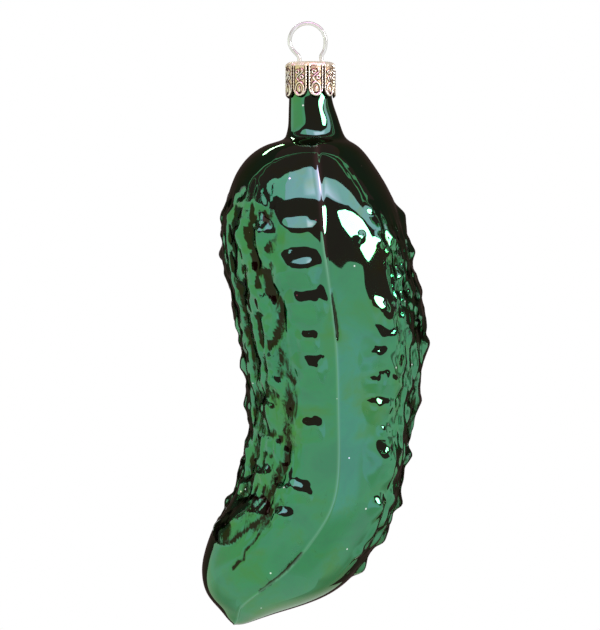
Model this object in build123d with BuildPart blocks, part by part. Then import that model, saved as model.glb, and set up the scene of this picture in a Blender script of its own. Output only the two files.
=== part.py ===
"""Glass pickle ornament: a blown glass pickle, a stamped crown cap on its neck and a spring-wire hanger.

Millimetres. The origin is the hanging point, inside the top of the wire loop. +Z is up, the neck and cap
are round about Z, and the mould seam that shows in front faces -Y.
"""

import os
from math import asin, atan2, cos, hypot, pi, radians, sin, sqrt

from build123d import *

# Hanger: one length of spring wire, bent into a loop on two legs
WIRE_DIAMETER = 0.8
LOOP_INNER_DIAMETER = 6.4
LEG_SPACING = 4.4  # between the centre lines of the legs, where they are closest, above the cap
SHOULDER_BEND = 1.2  # inside radius of the bend from the loop into a leg, on the wire's centre line
SHOULDER_HEIGHT = 0.8  # from the cap's top up to the middle of that bend
LEG_REACH = 12.6  # from the cap's top down to the feet
FOOT_GAP = 0.25  # between a foot and the bore of the neck

# Crown cap: one stamping of thin sheet with a scalloped skirt of petals
CAP_SHEET = 0.3
CAP_HEIGHT = 6.9  # from the cap's top down to the tips of the petals
SKIRT_GAP = 0.25  # between the skirt and the neck
SLOT_GAP = 0.2  # between a slot's edge and the wire
PETAL_COUNT = 9
PETAL_TURN = 13  # degrees from the front to the first petal
PETAL_SLIT_WIDTH = 0.5  # between neighbouring petals
PETAL_SLIT_HEIGHT = 2.1  # from the petal tips up to the top of the slit
LEAF_WIDTH = 2.1
LEAF_LENGTH = 5.0
LEAF_RELIEF = 0.2  # how far the embossed leaf stands out of its petal

# Blown glass: neck
GLASS_WALL = 0.8
NECK_DIAMETER = 8.6
NECK_LENGTH = 6.8  # the straight stretch, from the rim down to where the neck flares
LIP_RADIUS = 0.35  # on the outer edge of the fire-polished rim

# Blown glass: the pickle's outline, as the left and right ends of each cross-section.
# Each end is (X, drop), the drop measured down from the foot of the straight neck.
PICKLE_SECTIONS = [
    ((-4.5, 3.4), (5.3, 3.4)),
    ((-5.3, 6.6), (6.5, 6.6)),
    ((-8.9, 9.2), (8.9, 9.2)),
    ((-13.3, 12.8), (12.2, 12.8)),
    ((-16.7, 20.0), (16.5, 20.0)),
    ((-17.9, 28.5), (19.4, 28.5)),
    ((-16.2, 38.5), (21.4, 38.5)),
    ((-13.9, 50.0), (22.6, 50.0)),
    ((-12.5, 61.5), (20.9, 62.5)),
    ((-13.2, 71.5), (18.9, 74.0)),
    ((-15.5, 79.0), (16.4, 84.0)),
    ((-18.6, 84.3), (12.2, 90.8)),
    ((-20.9, 89.8), (6.6, 97.3)),
    ((-21.7, 95.0), (-0.5, 101.1)),
    ((-20.6, 99.3), (-7.5, 103.4)),
    ((-17.6, 103.0), (-11.4, 104.8)),
]
PICKLE_TIP = (-15.4, 105.3)
INNER_TIP_DEPTH = 2.0  # from the tip up the axis to the end of the hollow
SEAM_TURN = 5  # degrees from the front to the mould seam
SEAM_CREASE = 1.035  # how much deeper a section is across the seams than it is wide

# Blown glass: warts, in rows that run down the pickle.
# Each row is (degrees from the front towards the right, distance of its first wart down the axis).
WART_ROWS = [
    (-16, 31.0),
    (-48, 26.0),
    (-80, 31.0),
    (-112, 26.0),
    (-144, 31.0),
    (30, 31.0),
    (62, 25.5),
    (94, 30.5),
    (126, 25.5),
    (158, 31.0),
]
WART_PITCH = 10.5
WART_END = 83.2  # no wart is further down the axis than this
WART_HEIGHT = 0.8
WART_RADIUS = 2.3  # of the ring where a wart meets the pickle

# Where the pieces meet
wire_radius = WIRE_DIAMETER / 2
loop_radius = LOOP_INNER_DIAMETER / 2 + wire_radius
loop_z = -LOOP_INNER_DIAMETER / 2
leg_x = LEG_SPACING / 2
shoulder_x = leg_x + SHOULDER_BEND
shoulder_z = loop_z - sqrt((loop_radius + SHOULDER_BEND) ** 2 - shoulder_x**2)
cap_top_z = shoulder_z - SHOULDER_HEIGHT
rim_z = cap_top_z - CAP_SHEET
petal_tip_z = cap_top_z - CAP_HEIGHT
neck_foot_z = rim_z - NECK_LENGTH
neck_radius = NECK_DIAMETER / 2
bore_radius = neck_radius - GLASS_WALL
skirt_inner_radius = neck_radius + SKIRT_GAP
skirt_radius = skirt_inner_radius + CAP_SHEET
corner_radius = LIP_RADIUS + SKIRT_GAP
foot_x = bore_radius - FOOT_GAP - wire_radius
foot_z = cap_top_z - LEG_REACH

os.makedirs("parts", exist_ok=True)


def on_outline(end):
    """A point of the outline, in the XZ plane."""
    x, drop = end
    return Vector(x, 0, neck_foot_z - drop)


def section_plane(left, right):
    """The plane of a cross-section: its middle is the origin, +Z is down the pickle and +Y is to the seam."""
    across = (right - left).normalized()
    front = Vector(0, -1, 0)
    down = across.cross(front)
    turned = across * cos(radians(SEAM_TURN)) - front * sin(radians(SEAM_TURN))
    return Plane(origin=(left + right) / 2, x_dir=turned, z_dir=down)


def pickle_section(left, right, inset, crease):
    """The face of one cross-section: two arcs, one from each mould half, that meet at the seams."""
    half_width = (right - left).length / 2 - inset
    half_depth = half_width * crease
    with BuildSketch(section_plane(left, right)) as section:
        with BuildLine():
            ThreePointArc((0, half_depth), (-half_width, 0), (0, -half_depth))
            ThreePointArc((0, -half_depth), (half_width, 0), (0, half_depth))
        make_face()
    return section.sketch.face()


def pickle_faces(inset):
    """The cross-sections from the foot of the neck down to the last one before the tip."""
    neck_end = Vector(neck_radius, 0, neck_foot_z)
    neck_start = Vector(-neck_radius, 0, neck_foot_z)
    faces = [pickle_section(neck_start, neck_end, inset, 1)]
    for left, right in PICKLE_SECTIONS:
        faces.append(pickle_section(on_outline(left), on_outline(right), inset, SEAM_CREASE))
    return faces


# The pickle's axis runs through the middles of the cross-sections, down to the tip
with BuildLine() as pickle_axis:
    middles = [(on_outline(left) + on_outline(right)) / 2 for left, right in PICKLE_SECTIONS]
    Spline((0, 0, neck_foot_z), *middles, on_outline(PICKLE_TIP))
axis = pickle_axis.wire()


def wart_places(skin):
    """Where each wart's ball sits, so that it stands out of the skin by its height."""
    places = []
    ball_radius = (WART_RADIUS**2 + WART_HEIGHT**2) / (2 * WART_HEIGHT)
    for angle, first in WART_ROWS:
        steps = int((WART_END - first) / WART_PITCH)
        for step in range(steps + 1):
            share = (first + step * WART_PITCH) / axis.length
            down = axis % share
            right = down.cross(Vector(0, 1, 0))
            outward = right * sin(radians(angle)) - Vector(0, 1, 0) * cos(radians(angle))
            point, normal = skin.find_intersection_points(Axis(axis @ share, outward))[-1]
            places.append(point - normal * (ball_radius - WART_HEIGHT))
    return places, ball_radius


# Blown glass pickle: a shell with its rim fire-polished, open at the neck. The warts are blown into the
# mould, and the inside, which nobody sees, runs straight from section to section.
with BuildPart() as glass_pickle:
    loft([*pickle_faces(0), Vertex(*on_outline(PICKLE_TIP))])
    places, ball_radius = wart_places(glass_pickle.part)
    with BuildSketch(Plane.XY.offset(neck_foot_z)):
        Circle(neck_radius)
    extrude(amount=NECK_LENGTH)
    fillet(glass_pickle.edges().group_by(Axis.Z)[-1], LIP_RADIUS)
    with Locations(*places):
        Sphere(ball_radius)
    inner_faces = pickle_faces(GLASS_WALL)[:-1]
    inner_tip = axis @ (1 - INNER_TIP_DEPTH / axis.length)
    loft([*inner_faces, Vertex(*inner_tip)], ruled=True, mode=Mode.SUBTRACT)
    with BuildSketch(Plane.XY.offset(neck_foot_z)):
        Circle(bore_radius)
    extrude(amount=NECK_LENGTH, mode=Mode.SUBTRACT)
glass_pickle.part.label = "glass_pickle"
export_step(glass_pickle.part, "parts/glass_pickle.step")


def facing(degrees):
    """The upright plane through Z that faces out at this angle, from the front towards the right."""
    turn = radians(degrees)
    return Plane(origin=(0, 0, 0), x_dir=(cos(turn), sin(turn), 0), z_dir=(sin(turn), -cos(turn), 0))


petal_pitch = 360 / PETAL_COUNT
petal_angles = [PETAL_TURN + petal_pitch * count for count in range(PETAL_COUNT)]
slit_angles = [angle + petal_pitch / 2 for angle in petal_angles]
corner_z = rim_z - corner_radius
leaf_z = (petal_tip_z + corner_z) / 2
half_pitch = skirt_radius * sin(pi / PETAL_COUNT)
half_slit = PETAL_SLIT_WIDTH / 2
petal_round = half_pitch - half_slit
petal_round_z = petal_tip_z + petal_round
slit_top_z = petal_tip_z + PETAL_SLIT_HEIGHT

# Embossed leaves, one on each petal, as they stand on the cap's skirt
with BuildPart() as leaves:
    for angle in petal_angles:
        with BuildSketch(facing(angle)):
            with Locations((0, leaf_z)):
                Ellipse(LEAF_WIDTH / 2, LEAF_LENGTH / 2)
        extrude(amount=skirt_radius + LEAF_RELIEF)
    with BuildSketch(Plane.XY.offset(petal_tip_z)):
        Circle(skirt_radius + LEAF_RELIEF)
        Circle(skirt_inner_radius, mode=Mode.SUBTRACT)
    extrude(amount=CAP_HEIGHT, mode=Mode.INTERSECT)

# Crown cap: a cup of thin sheet that sits on the rim, slotted for the hanger's legs, with a skirt of petals
with BuildPart() as crown_cap:
    with BuildSketch(Plane.XZ):
        with BuildLine():
            outside = FilletPolyline(
                (0, cap_top_z),
                (skirt_radius, cap_top_z),
                (skirt_radius, petal_tip_z),
                radius=corner_radius + CAP_SHEET,
            )
            inside = FilletPolyline(
                (0, rim_z),
                (skirt_inner_radius, rim_z),
                (skirt_inner_radius, petal_tip_z),
                radius=corner_radius,
            )
            Line(outside @ 0, inside @ 0)
            Line(outside @ 1, inside @ 1)
        make_face()
    revolve(axis=Axis.Z)
    add(leaves.part)
    for angle in slit_angles:
        with BuildSketch(facing(angle)):
            with BuildLine():
                left_tip = RadiusArc((-half_pitch, petal_tip_z), (-half_slit, petal_round_z), -petal_round)
                left_side = Line(left_tip @ 1, (-half_slit, slit_top_z - half_slit))
                slit_end = ThreePointArc(left_side @ 1, (0, slit_top_z), (half_slit, slit_top_z - half_slit))
                right_side = Line(slit_end @ 1, (half_slit, petal_round_z))
                right_tip = RadiusArc(right_side @ 1, (half_pitch, petal_tip_z), -petal_round)
                Line(right_tip @ 1, left_tip @ 0)
            make_face()
        extrude(amount=skirt_radius + LEAF_RELIEF, mode=Mode.SUBTRACT)
    slot_start = leg_x - wire_radius - SLOT_GAP
    slot_end_x = foot_x + wire_radius + SLOT_GAP
    slot_middle = (slot_start + slot_end_x) / 2
    with BuildSketch(Plane.XY.offset(rim_z)):
        with Locations((-slot_middle, 0), (slot_middle, 0)):
            SlotOverall(slot_end_x - slot_start, WIRE_DIAMETER + 2 * SLOT_GAP)
    extrude(amount=CAP_SHEET, mode=Mode.SUBTRACT)
crown_cap.part.label = "crown_cap"
export_step(crown_cap.part, "parts/crown_cap.step")

# Hanger: the wire runs from one foot up its leg, through the shoulder bend and round the loop to the other
foot_to_shoulder = hypot(shoulder_x - foot_x, shoulder_z - foot_z)
leg_length = sqrt(foot_to_shoulder**2 - SHOULDER_BEND**2)
leg_slope = atan2(shoulder_z - foot_z, shoulder_x - foot_x) + asin(SHOULDER_BEND / foot_to_shoulder)
bend_share = SHOULDER_BEND / (SHOULDER_BEND + loop_radius)
with BuildPart() as hanger_wire:
    with BuildLine(Plane.XZ) as wire_path:
        leg_end = (foot_x + leg_length * cos(leg_slope), foot_z + leg_length * sin(leg_slope))
        leg = Line((foot_x, foot_z), leg_end)
        loop_start = (shoulder_x * (1 - bend_share), shoulder_z + (loop_z - shoulder_z) * bend_share)
        shoulder = TangentArc(leg @ 1, loop_start, tangent=leg % 1)
        TangentArc(shoulder @ 1, (0, loop_z + loop_radius), tangent=shoulder % 1)
        mirror(about=Plane.YZ)
    with BuildSketch(Plane(origin=leg @ 0, z_dir=leg % 0)):
        Circle(wire_radius)
    sweep(path=wire_path.wire())
hanger_wire.part.label = "hanger_wire"
export_step(hanger_wire.part, "parts/hanger_wire.step")
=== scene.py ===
"""Glass pickle ornament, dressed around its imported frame: silvered green glass, a gold cap, a wire loop."""

import bpy
import numpy as np
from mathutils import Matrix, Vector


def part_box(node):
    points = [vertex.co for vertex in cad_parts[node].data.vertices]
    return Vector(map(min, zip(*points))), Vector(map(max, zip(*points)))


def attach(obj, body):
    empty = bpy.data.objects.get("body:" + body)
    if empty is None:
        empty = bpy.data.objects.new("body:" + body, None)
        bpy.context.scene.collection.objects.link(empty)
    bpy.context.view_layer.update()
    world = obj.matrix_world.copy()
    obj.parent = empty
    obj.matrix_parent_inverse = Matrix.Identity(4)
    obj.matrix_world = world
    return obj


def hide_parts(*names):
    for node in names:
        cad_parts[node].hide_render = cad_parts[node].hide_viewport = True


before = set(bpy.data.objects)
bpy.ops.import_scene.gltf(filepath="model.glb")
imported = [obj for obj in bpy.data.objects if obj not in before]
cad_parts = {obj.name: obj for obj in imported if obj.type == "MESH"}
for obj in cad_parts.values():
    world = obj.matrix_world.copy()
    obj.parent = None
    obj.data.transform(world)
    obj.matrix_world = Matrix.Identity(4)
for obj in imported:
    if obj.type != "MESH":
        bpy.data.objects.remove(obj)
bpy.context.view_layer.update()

# Glass pickle: one piece of clear glass blown into a two-part mould, silvered inside and dipped in green
# lacquer outside. The mould leaves a seam down the front and the back, warts, and furrowed sides. The neck
# is cut off open, and its rim is melted round.
MM = 0.001
RIM_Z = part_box("glass_pickle")[1].z / MM
NECK_RADIUS = 4.3
NECK_LENGTH = 6.8
NECK_FOOT_Z = RIM_Z - NECK_LENGTH
GLASS_WALL = 0.8
BODY_WALL = 1.7  # from the smooth skin to the inside, so that the furrows stay clear of it
BODY_START = (0, 8)  # drops below the neck's foot, between which the neck becomes the body
LEAST_HALF_WIDTH = 0.02
# The outline's cross-sections: X and drop below the neck's foot of the left end, then of the right end
PICKLE_SECTIONS = np.array([
    (-4.4, 3.4, 5.3, 3.4), (-4.62, 6.4, 6.3, 6.4), (-4.82, 7.2, 6.62, 7.2), (-5.15, 8.0, 7.1, 8.0),
    (-6.2, 8.6, 7.8, 8.6), (-8.7, 9.4, 8.9, 9.25), (-13.3, 12.8, 12.2, 12.8), (-16.7, 20.0, 16.5, 20.0),
    (-17.9, 28.5, 19.4, 28.5), (-16.2, 38.5, 21.4, 38.5), (-13.9, 50.0, 22.6, 50.0),
    (-12.5, 61.5, 20.9, 62.5), (-13.2, 71.5, 18.9, 74.0), (-15.5, 79.0, 16.4, 84.0),
    (-18.6, 84.3, 12.2, 90.8), (-20.9, 89.8, 6.6, 97.3), (-21.7, 95.0, -0.5, 101.1),
    (-20.6, 99.3, -7.5, 103.3), (-17.6, 102.9, -11.4, 104.6),
])
PICKLE_TIP = (-15.3, 105.05)
# The seam's turn from the front towards the right, in degrees, at drops below the neck's foot
SEAM_PLACES = np.array([-7.0, 8, 20, 38, 62, 76, 88, 94, 98, 102, 106])
SEAM_TURNS = np.array([8.0, 8, 7, 3.5, 4, 10.5, 11.5, 8.5, 4, 1, 0])
SEAM_CREASE = 0.010  # how much deeper a section is across the seams than it is wide


def smooth_line(points, knots, at):
    """A natural cubic spline: the line through the points at the knots whose bending runs on without a jump,
    read at the given places."""
    gap = np.diff(knots)
    slope = np.diff(points, axis=0) / gap[:, None]
    inner = np.arange(1, len(knots) - 1)
    matrix = np.eye(len(knots))
    matrix[inner, inner - 1] = gap[:-1]
    matrix[inner, inner] = 2 * (gap[:-1] + gap[1:])
    matrix[inner, inner + 1] = gap[1:]
    pull = np.zeros_like(points)
    pull[1:-1] = 6 * np.diff(slope, axis=0)
    bend = np.linalg.solve(matrix, pull)
    k = np.clip(np.searchsorted(knots, at) - 1, 0, len(knots) - 2)
    h = gap[k][:, None]
    b = (at - knots[k])[:, None] / h
    a = 1 - b
    return a * points[k] + b * points[k + 1] + ((a**3 - a) * bend[k] + (b**3 - b) * bend[k + 1]) * h**2 / 6


def ease(low, high, value):
    """0 below low, 1 above high, and a smooth step of 3t squared less 2t cubed between them."""
    t = np.clip((value - low) / (high - low), 0, 1)
    return t * t * (3 - 2 * t)


def pickle_skin(down, around, inset):
    """Points of the smooth skin: at each share of the outline's length from rim to tip, the section between
    the left and right outline, less inset times the wall at each side, is two arcs that meet at the seams.
    Its radius at an angle from the seam is sqrt(offset squared sin squared + half depth squared) less offset
    times |sin|. Also gives the middle of each section."""
    neck = np.array([[NECK_RADIUS, -NECK_LENGTH], [NECK_RADIUS, -NECK_LENGTH / 2], [NECK_RADIUS, 0.0]])
    left = np.vstack([neck * (-1, 1), PICKLE_SECTIONS[:, :2], [PICKLE_TIP]])
    right = np.vstack([neck, PICKLE_SECTIONS[:, 2:], [PICKLE_TIP]])
    outline = np.vstack([left, right[-2::-1]])
    knots = np.append(0, np.cumsum(np.hypot(*np.diff(outline, axis=0).T)))
    left_knots = knots[: len(left)]
    right_knots = knots[len(left) - 1:][::-1]
    mean_knots = (left_knots + knots[-1] - right_knots) / 2
    at = down * mean_knots[-1]
    left_ends = smooth_line(outline, knots, np.interp(at, mean_knots, left_knots))
    right_ends = smooth_line(outline, knots, np.interp(at, mean_knots, right_knots))
    middle = (left_ends + right_ends) / 2
    across = right_ends - left_ends
    width = np.hypot(*across.T)
    across = across / np.maximum(width, 1e-6)[:, None]
    body = ease(*BODY_START, middle[:, 1])
    inset = inset * (GLASS_WALL + (BODY_WALL - GLASS_WALL) * body)
    half_width = np.maximum(width / 2 - inset, LEAST_HALF_WIDTH)[:, None]
    half_depth = half_width * (1 + SEAM_CREASE * body)[:, None]
    offset = (half_depth**2 - half_width**2) / (2 * half_width)
    radius = np.sqrt((offset * np.sin(around)) ** 2 + half_depth**2) - offset * np.abs(np.sin(around))
    turn = around + np.radians(smooth_line(SEAM_TURNS[:, None], SEAM_PLACES, middle[:, 1]))
    side = radius * np.sin(turn)
    x = middle[:, :1] + across[:, :1] * side
    z = NECK_FOOT_Z - middle[:, 1:] - across[:, 1:] * side
    return np.stack([x, -radius * np.cos(turn), z], axis=-1), middle


def facing_out(points):
    """Unit normals of a grid that is closed around: the cross product of its two differences."""
    down = np.gradient(points, axis=0)
    around = np.roll(points, -1, axis=1) - np.roll(points, 1, axis=1)
    normal = np.cross(down, around)
    return normal / np.maximum(np.linalg.norm(normal, axis=-1, keepdims=True), 1e-9)


# Where the sides are wrinkled. In these pairs and the like below, a form begins to show, or to fade, at the
# first value and is whole, or gone, at the second: millimetres down the axis from the neck's foot, or, where
# a name says turn, degrees from the front seam.
LEFT_SIDE_TURN, RIGHT_SIDE_TURN, BACK_TURN = (24, 40), (34, 48), (140, 158)
SIDES_START, SIDES_END = (15, 26), (84, 98)
RIGHT_SIDE_DROP, RIGHT_SIDE_EDGE = 0.10, 90  # how much lower they begin for each degree, up to the edge


def wrinkled_sides(along, degrees):
    """1 on the two sides and 0 on the front, the back, the shoulder and the toe, with smooth steps."""
    sides = ease(*LEFT_SIDE_TURN, -degrees) + ease(*RIGHT_SIDE_TURN, degrees)
    sides = sides * (1 - ease(*BACK_TURN, np.abs(degrees)))
    lowered = along - RIGHT_SIDE_DROP * np.clip(degrees, 0, RIGHT_SIDE_EDGE)
    return sides * ease(*SIDES_START, lowered) * (1 - ease(*SIDES_END, along))


SEAM_KEEL, SEAM_KEEL_REACH = 0.24, 1.9
SEAM_RIDGE = 0.15
SEAM_RIDGE_WIDTHS = (0.55, 0.24)  # at the shoulder, and from the belly to the tip
SEAM_START, SEAM_NARROWS, SEAM_END, KEEL_END = (7, 13), (18, 38), (116, 122), (114, 121)
PALE_LINE_FADES, PALE_LINE_LOSS = (26, 42), 0.5


def seam_ridge(along, from_seam):
    """Relief of the mould seam: a keel that falls off as exp of minus the distance, with a thin bell-shaped
    ridge on it. Also gives how much of the painted highlight, a pale line along the ridge, shows, from 0 to
    1."""
    broad, thin = SEAM_RIDGE_WIDTHS
    width = broad + (thin - broad) * ease(*SEAM_NARROWS, along)
    start = ease(*SEAM_START, along)
    ridge = np.exp(-((from_seam / width) ** 2)) * start * (1 - ease(*SEAM_END, along))
    keel = np.exp(-from_seam / SEAM_KEEL_REACH) * start * (1 - ease(*KEEL_END, along))
    # The painted highlight: a pale line on the ridge, which loses half of it further down.
    pale_line = ridge * (1 - PALE_LINE_LOSS * ease(*PALE_LINE_FADES, along))
    return SEAM_RIDGE * ridge + SEAM_KEEL * keel, pale_line


# Furrows that run down between the rows: distances down, degrees from the front seam there, depth
FURROWS = [
    ((24, 30, 37, 43, 58, 72, 84), (-52, -48, -37, -31, -35, -37, -43), 0.55),
    ((0, 60, 80), (-64, -65, -71), 0.50), ((0,), (-98,), 0.45), ((0,), (-130,), 0.50),
    ((0,), (72,), 0.40), ((0,), (98,), 0.45), ((0,), (130,), 0.50),
]
FURROW_START, FURROW_END = (20, 36), (80, 95)
FURROW_WIDTH = 4.4  # degrees
FURROW_WIDENS, FURROW_WIDENING = (52, 66), 0.5
# How furrows wander: degrees, millimetres for each radian, and how its start goes with the furrow's place
FURROW_WANDER = [(1.8, 6.3, 1), (2.0, 2.4, 2)]


def furrow_valleys(along, degrees):
    """Relief of the furrows: valleys that are bells on the degrees from a line down the skin, which wanders
    by two sine waves. Also gives where they are, from 0 to 1."""
    width = FURROW_WIDTH * (1 + FURROW_WIDENING * ease(*FURROW_WIDENS, along))
    shown = ease(*FURROW_START, along) * (1 - ease(*FURROW_END, along))
    relief = np.zeros((along.size, degrees.size))
    furrows = np.zeros_like(relief)
    for distances, turns, depth in FURROWS:
        place = np.interp(along, distances, turns)
        for swing, wave, shift in FURROW_WANDER:
            place = place + swing * np.sin(along / wave + shift * turns[0])
        valley = np.exp(-(((degrees - place) / width) ** 2)) * shown
        relief = relief - depth * valley
        furrows = np.maximum(furrows, valley)
    return relief, furrows


# What the mould's rough face prints on the skin: height, length and width in cells of the grid, and seed
SIDE_WRINKLES = [(0.095, 24, 6, 3), (0.115, 10, 13, 4), (0.040, 5, 5, 5)]
FURROW_WRINKLES = 0.6  # of those heights, in a furrow
BODY_WAVES, BODY_WAVES_START, BODY_WAVES_END = (0.012, 17, 20, 6), (9, 20), (100, 108)
SHOULDER_GRAIN, SHOULDER_START, SHOULDER_END = (0.004, 5, 5, 7), (9, 13), (22, 30)
SHOULDER_TURN = (12, 30)


def streaks(shape, height, along, across, seed):
    """Seeded noise on a grid that wraps: white noise whose waves are weighed by a bell about one over the
    wanted lengths, in cells along and across, and scaled to a spread of that height."""
    noise = np.random.default_rng(seed).standard_normal(shape)
    waves = np.hypot(np.fft.fftfreq(shape[0])[:, None] * along, np.fft.rfftfreq(shape[1]) * across)
    shaped = np.fft.irfft2(np.fft.rfft2(noise) * np.exp(-((waves - 1) ** 2) * 4), s=shape)
    return height * (shaped / shaped.std())


def mould_wrinkles(along, degrees, sides, furrows):
    """Relief of the wrinkles: streaked noise on the sides and in the furrows, slow waves all over the body,
    and a fine grain on the shoulder."""
    shape = sides.shape
    wrinkles = sum(streaks(shape, *wrinkle) for wrinkle in SIDE_WRINKLES)
    body = ease(*BODY_WAVES_START, along) * (1 - ease(*BODY_WAVES_END, along))
    shoulder = ease(*SHOULDER_START, along) * (1 - ease(*SHOULDER_END, along))
    shoulder = shoulder * ease(*SHOULDER_TURN, np.abs(degrees))
    relief = (sides + FURROW_WRINKLES * furrows) * wrinkles
    return relief + streaks(shape, *BODY_WAVES) * body + streaks(shape, *SHOULDER_GRAIN) * shoulder


# Warts as seen from the front: X, Z, radius, height, width over height, and the power that squares them
FRONT_WARTS = [
    (-2.2, -41.8, 3.5, 0.56, 1.35, 5), (-2.8, -49.2, 5.0, 1.47, 1.05, 5), (-1.3, -55.8, 4.2, 1.12, 1.10, 5),
    (-0.5, -63.1, 2.6, 0.66, 1.05, 5), (-0.3, -68.2, 3.6, 1.10, 1.05, 5), (0.0, -80.5, 2.9, 0.85, 1.05, 5),
    (-2.9, -92.9, 2.9, 0.75, 1.2, 5), (-5.8, -97.2, 2.7, 0.78, 1.0, 2), (-4.4, -85.6, 2.2, 0.35, 1.0, 2),
    (-9.7, -42.1, 3.9, 1.05, 0.7, 2), (-9.6, -55.2, 2.7, 1.05, 1.0, 2), (-8.2, -61.6, 2.0, 0.65, 1.0, 2),
    (-7.6, -66.4, 2.6, 1.05, 1.0, 2), (-7.4, -71.4, 2.6, 1.10, 1.0, 2), (-7.9, -77.2, 2.7, 1.05, 1.0, 2),
    (-9.4, -89.4, 2.7, 0.95, 1.0, 2), (9.6, -42.7, 1.7, 0.28, 1.0, 2),
    (14.1, -57.2, 3.0, 0.33, 1.0, 2), (15.1, -62.6, 3.2, 0.23, 1.1, 5), (12.9, -66.4, 4.2, 0.49, 1.0, 5),
    (12.8, -71.2, 3.8, 0.78, 1.0, 2), (14.7, -71.2, 3.8, 0.80, 1.0, 2), (16.5, -71.2, 3.8, 0.92, 1.0, 2),
    (13.1, -76.2, 3.7, 0.95, 0.9, 5), (14.4, -81.0, 2.4, 0.65, 0.8, 3), (14.9, -86.6, 6.8, 1.55, 0.70, 4),
    (14.6, -84.7, 1.9, 1.42, 1.0, 2), (13.2, -96.2, 3.3, 1.30, 0.9, 2), (9.5, -104.8, 2.1, 0.85, 0.9, 2),
    (18.2, -49.0, 2.6, 0.40, 0.8, 2), (18.6, -60.0, 2.4, 0.45, 0.8, 2), (18.0, -79.6, 2.6, 0.55, 0.8, 2),
]
# Warts that stand out on the outline: Z, radius and height down the right edge, then down the left edge
RIGHT_EDGE_WARTS = [
    (-38.1, 3.9, 0.80), (-44.6, 3.9, 0.85), (-52.5, 3.9, 0.95), (-57.5, 8.0, 0.80), (-64.2, 3.9, 1.00),
    (-75.7, 3.6, 0.85), (-86.3, 2.6, 1.00), (-96.0, 2.8, 1.25), (-103.8, 2.8, 1.05), (-110.6, 2.8, 1.05),
]
LEFT_EDGE_WARTS = [
    (-38.1, 3.9, 0.45), (-47.3, 3.9, 0.40), (-58.7, 3.9, 0.15), (-68.2, 3.6, 0.85), (-76.4, 3.4, 0.95),
    (-84.3, 3.4, 0.85), (-88.5, 3.0, 0.85),
]
BEYOND_EDGE = 40  # X well outside the outline, from which the nearest edge is sought
EDGE_PULL = 0.3  # how much X counts in that search
WART_CREST, EDGE_CREST = 0.22, 0.6  # how blunt a wart's crest is, as a share of its radius
WART_FOOT = 1.5
WART_WOBBLE = (0.17, 9, 14)  # how far a wart's outline strays from a true oval, and over how many cells
WOBBLE_SEEDS = (21, 22)


def dome(share, crest):
    """A dome of height one, from the square of the distance's share of the radius: a cone with a blunt crest,
    raised to a power over one, so that its foot runs out into the skin."""
    top = np.hypot(1, crest)
    return np.clip((top - np.sqrt(share + crest**2)) / (top - crest), 0, 1) ** WART_FOOT


def raised_warts(points, front):
    """Relief of the warts of the front and of its edges: domes on the distance from the skin's point that is
    nearest to a wart's middle in the front view. The skin is strayed by noise first, so that no wart is a
    true oval, and the highest wart counts where some meet."""
    shape = front.shape
    view = points[:, :, ::2]
    sideways, upwards = (streaks(shape, *WART_WOBBLE, seed) for seed in WOBBLE_SEEDS)
    strayed = points + np.stack([sideways, np.zeros(shape), upwards], axis=-1)
    warts = [(*wart, 1, WART_CREST) for wart in FRONT_WARTS]
    warts += [(BEYOND_EDGE, *wart, 1, 2, EDGE_PULL, EDGE_CREST) for wart in RIGHT_EDGE_WARTS]
    warts += [(-BEYOND_EDGE, *wart, 1, 2, EDGE_PULL, EDGE_CREST) for wart in LEFT_EDGE_WARTS]
    relief = np.zeros(shape)
    for x, z, radius, height, wide, power, pull, crest in warts:
        gap = np.where(front, np.linalg.norm((view - (x, z)) * (pull, 1), axis=-1), np.inf)
        middle = points[np.unravel_index(gap.argmin(), shape)]
        reach = np.abs(strayed - middle) / (radius * wide, radius, radius)
        share = reach[:, :, 0] ** power + reach[:, :, 1] ** 2 + reach[:, :, 2] ** 2
        relief = np.maximum(relief, height * dome(share, crest))
    return relief


# Rows of warts round the back: degrees from the front seam, distance down of the first, count
BACK_WARTS = [
    (-112, 23.5, 7), (-136, 29.0, 6), (-158, 24.0, 6),
    (108, 28.0, 7), (130, 23.0, 7), (152, 28.5, 6), (171, 23.5, 6),
]
BACK_WART_PITCH = 10.2
BACK_WART_STRAY, BACK_WART_STRAY_TURN = 1, 3  # millimetres along the row, and degrees across it
BACK_WART_RADII, BACK_WART_HEIGHTS = (2.1, 2.9), (0.6, 0.95)
# Pimples, small swellings strewn over the furrowed sides
PIMPLES = 110
PIMPLE_PLACES, PIMPLE_TURNS, PIMPLE_RADII = (20, 88), (36, 142), (1.5, 2.5)
PIMPLE_HEIGHT = 0.17  # as a share of its radius
FURROW_CALM = 0.8  # how much of its height a pimple loses in a furrow
BUMP_SEED = 11


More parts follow.
